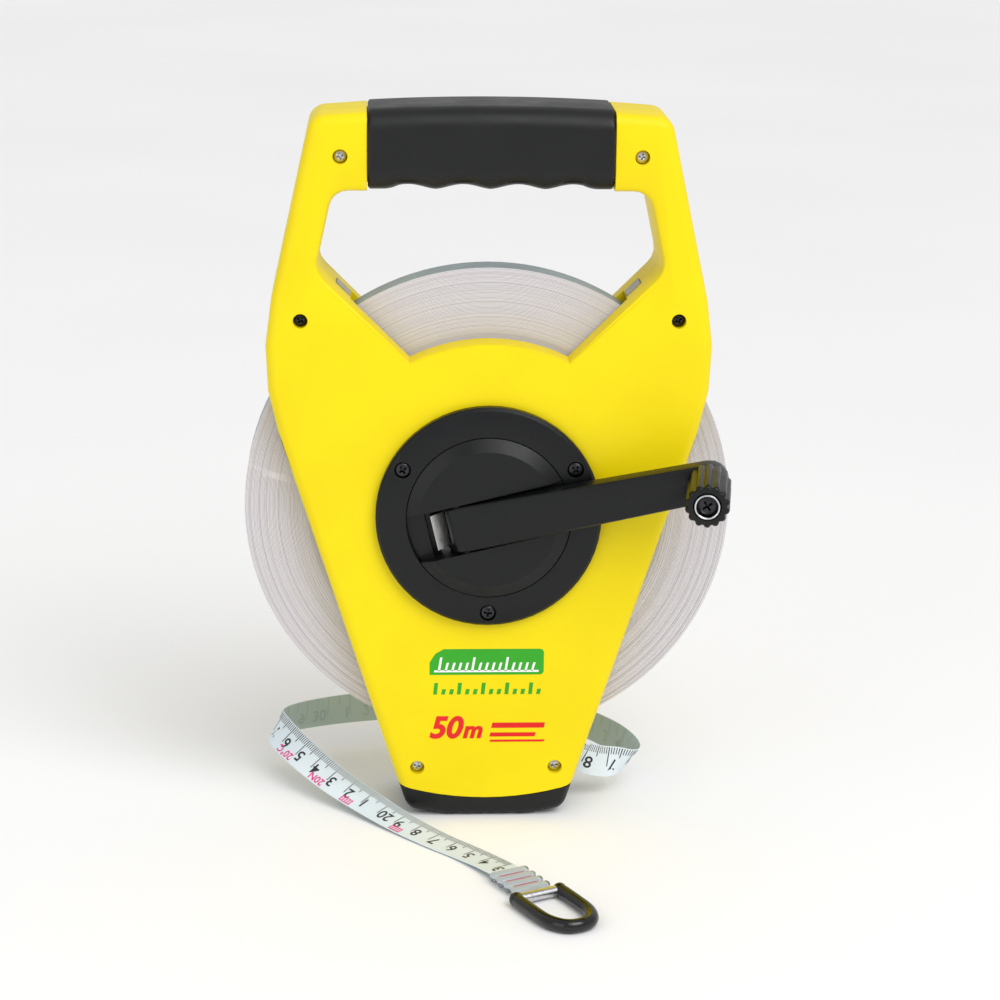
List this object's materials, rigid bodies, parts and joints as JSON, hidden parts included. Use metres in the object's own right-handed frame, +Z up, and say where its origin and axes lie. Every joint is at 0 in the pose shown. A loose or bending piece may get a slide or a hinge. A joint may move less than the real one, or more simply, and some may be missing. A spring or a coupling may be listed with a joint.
{
  "type": "surveyor tape reel",
  "caption": "Open-frame reel for a long surveyor's tape, with a carrying grip, a folding crank geared up to the drum, and the tape's free end laid out to its end ring.",
  "frame": {"origin": "middle of the foot's base, on the surface the reel stands on", "axes": "+Z up, the front of the reel with its crank faces -Y, +X to the right seen from the front; the drum's axis is along Y"},
  "size_m": [0.1886, 0.1985, 0.2806],
  "materials": {
    "yellow_abs": "satin moulded yellow",
    "black_abs": "satin moulded black",
    "black_rubber": "matte soft rubber",
    "steel": "bright plated",
    "blackened_steel": "black zinc",
    "tape_coating": "printed pale blue coating over glass fibre",
    "gear_nylon": "natural nylon",
    "guide_pad": "felt",
    "clear_guard": "clear moulded sleeve"
  },
  "bodies": {
    "frame": {"case_screw_1": "steel", "case_screw_2": "steel", "case_screw_3": "blackened_steel", "case_screw_4": "blackened_steel", "case_screw_5": "steel", "case_screw_6": "steel", "cover_screw_1": "blackened_steel", "cover_screw_2": "blackened_steel", "cover_screw_3": "blackened_steel", "drum_axle": "steel", "foot": "black_rubber", "free_tape": "tape_coating", "front_shell": "yellow_abs", "gear_cover": "black_abs", "grip_sleeve": "black_rubber", "guide_pad_left": "guide_pad", "guide_pad_right": "guide_pad", "rear_shell": "yellow_abs", "ring_gear": "gear_nylon", "tape_guard": "clear_guard"},
    "drum": {"drum_hub": "black_abs", "tape_winding": "tape_coating", "sun_gear": "gear_nylon", "bush_front": "gear_nylon", "bush_rear": "gear_nylon"},
    "rotor": {"crank_rotor": "black_abs", "planet_pin_1": "steel", "planet_pin_2": "steel", "planet_pin_3": "steel", "fold_pin": "steel", "detent_spring": "steel"},
    "planet_1": {"planet_gear_1": "gear_nylon"},
    "planet_2": {"planet_gear_2": "gear_nylon"},
    "planet_3": {"planet_gear_3": "gear_nylon"},
    "arm": {"crank_arm": "black_abs", "knob_spindle": "blackened_steel"},
    "knob": {"crank_knob": "black_abs", "knob_ring": "steel"},
    "hook": {"end_ring": "black_abs", "ring_pin": "steel"}
  },
  "joints": [
    {"name": "drum_spin", "type": "hinge", "parent": "frame", "child": "drum", "pos_m": [0, 0, 0.1241], "axis": [0, 1, 0], "continuous": true},
    {"name": "rotor_spin", "type": "hinge", "parent": "frame", "child": "rotor", "pos_m": [0, -0.02, 0.1241], "axis": [0, 1, 0], "continuous": true},
    {"name": "planet_1_spin", "type": "hinge", "parent": "rotor", "child": "planet_1", "pos_m": [-0.00582, -0.0115, 0.14583], "axis": [0, 1, 0], "continuous": true},
    {"name": "planet_2_spin", "type": "hinge", "parent": "rotor", "child": "planet_2", "pos_m": [-0.01591, -0.0115, 0.10819], "axis": [0, 1, 0], "continuous": true},
    {"name": "planet_3_spin", "type": "hinge", "parent": "rotor", "child": "planet_3", "pos_m": [0.02173, -0.0115, 0.11828], "axis": [0, 1, 0], "continuous": true},
    {"name": "arm_fold", "type": "hinge", "parent": "rotor", "child": "arm", "pos_m": [-0.01035, -0.0214, 0.12007], "axis": [0.2334, 0, -0.9724], "range_deg": [0, 138]},
    {"name": "knob_spin", "type": "hinge", "parent": "arm", "child": "knob", "pos_m": [0.08012, -0.05536, 0.14179], "axis": [-0.142, -0.9893, -0.0341], "continuous": true},
    {"name": "ring_fold", "type": "hinge", "parent": "frame", "child": "hook", "pos_m": [0.016, -0.1023, 0.0028], "axis": [-0.891, -0.454, 0], "range_deg": [0, 130]}
  ],
  "couplings": [
    {"joint": "rotor_spin", "follows": "drum_spin", "ratio": 0.33333},
    {"joint": "planet_1_spin", "follows": "drum_spin", "ratio": -1.3333},
    {"joint": "planet_2_spin", "follows": "drum_spin", "ratio": -1.3333},
    {"joint": "planet_3_spin", "follows": "drum_spin", "ratio": -1.3333}
  ]
}
